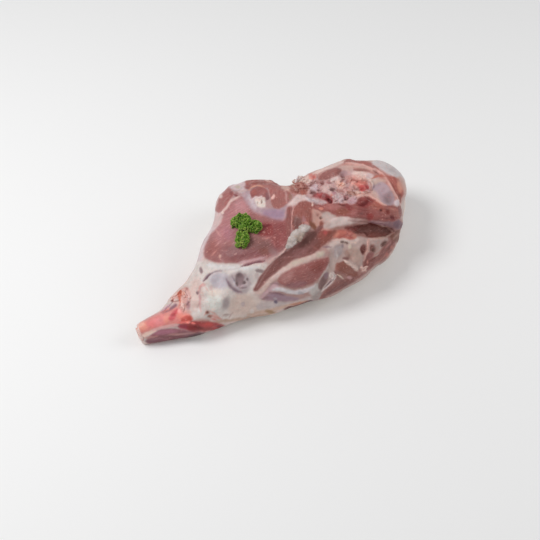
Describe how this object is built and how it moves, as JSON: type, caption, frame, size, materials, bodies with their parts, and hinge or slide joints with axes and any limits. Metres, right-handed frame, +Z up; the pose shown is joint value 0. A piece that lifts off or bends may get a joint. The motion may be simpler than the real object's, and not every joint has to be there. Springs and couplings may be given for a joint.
{
  "type": "raw leg of lamb",
  "caption": "Whole raw leg of lamb on the bone, lying on its outer side, with a sawn shank, torn hip joint and a sprig of parsley.",
  "frame": {"origin": "middle of the box round the whole part, at the level of the surface that it lies on", "axes": "+X from the sawn shank to the rump end, +Y towards the flank, +Z up"},
  "size_m": [0.3626, 0.1828, 0.0984],
  "materials": {
    "raw_meat": "moist raw meat with silverskin and fat, satin gloss",
    "sawn_bone": "sawn bone, damp",
    "spongy_bone": "spongy bloody bone, damp",
    "parsley_leaf": "matt curly leaf"
  },
  "bodies": {
    "root": {"leg": "raw_meat", "shank_bone": "sawn_bone", "hip_bone": "spongy_bone", "parsley": "parsley_leaf"}
  },
  "joints": []
}
